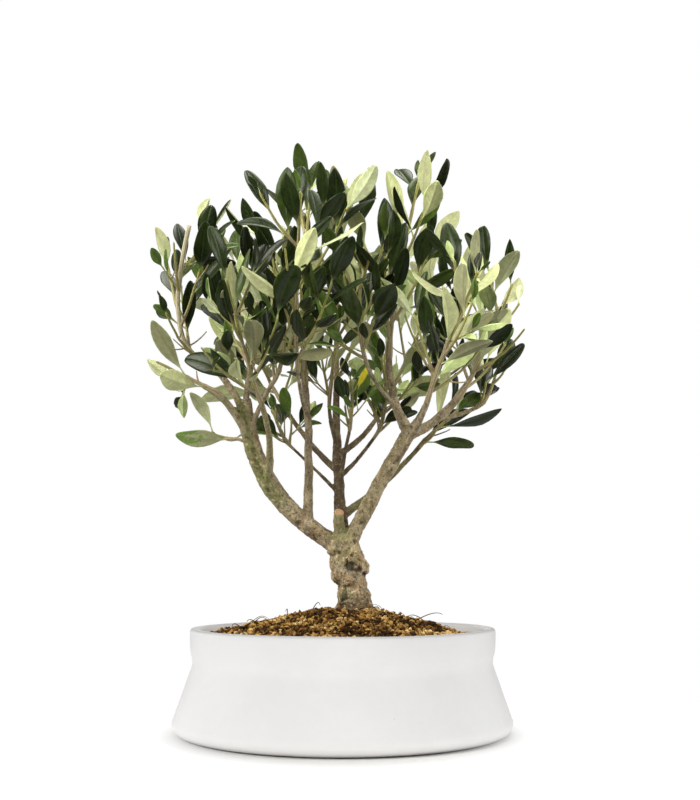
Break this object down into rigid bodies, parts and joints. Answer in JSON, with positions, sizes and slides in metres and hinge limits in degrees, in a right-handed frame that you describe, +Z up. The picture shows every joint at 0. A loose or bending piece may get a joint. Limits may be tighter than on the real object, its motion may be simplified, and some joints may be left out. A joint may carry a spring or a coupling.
{
  "type": "potted olive bonsai tree",
  "caption": "Small olive tree trained as a bonsai: a leaning forked trunk and an open upright crown of narrow leaves, growing from a soil mound in a round white pot with a flared base.",
  "frame": {"origin": "middle of the pot's flat underside, on the surface that the pot stands on", "axes": "+Z up along the pot's axis, +X to the right as seen from the front, -Y towards the front"},
  "size_m": [0.272, 0.24, 0.4292],
  "materials": {
    "pot": "smooth satin white",
    "soil": "loose brown granules",
    "bark": "rough grey-brown bark",
    "leaves": "glossy dark green above, pale silvery green below"
  },
  "bodies": {
    "root": {"pot": "pot", "soil": "soil", "trunk": "bark", "bough_left": "bark", "bough_right": "bark", "bough_centre": "bark", "bough_cut_stub": "bark", "bough_centre_left": "bark", "bough_left_low": "bark", "bough_left_outer": "bark", "bough_left_inner": "bark", "bough_left_front": "bark", "bough_left_spur": "bark", "bough_left_twig": "bark", "bough_side_front": "bark", "bough_back_left": "bark", "bough_back_right": "bark", "bough_centre_right": "bark", "bough_centre_spur": "bark", "bough_low_right": "bark", "bough_low_left": "bark", "bough_right_arm": "bark", "bough_right_inner": "bark", "bough_right_up": "bark", "bough_right_front": "bark", "bough_right_low": "bark", "bough_inner_front": "bark", "bough_low_centre": "bark", "leaves_left_low": "leaves", "leaves_left_outer": "leaves", "leaves_left_inner": "leaves", "leaves_left_front": "leaves", "leaves_left_spur": "leaves", "leaves_left_twig": "leaves", "leaves_side_front": "leaves", "leaves_centre_front": "leaves", "leaves_centre_top": "leaves", "leaves_centre_spur": "leaves", "leaves_back_left": "leaves", "leaves_back_right": "leaves", "leaves_inner_right": "leaves", "leaves_low_right": "leaves", "leaves_low_left": "leaves", "leaves_right_outer": "leaves", "leaves_right_low": "leaves", "leaves_right_centre": "leaves", "leaves_right_back": "leaves", "leaves_right_front": "leaves", "leaves_low_centre": "leaves", "leaves_inner_front": "leaves"}
  },
  "joints": []
}
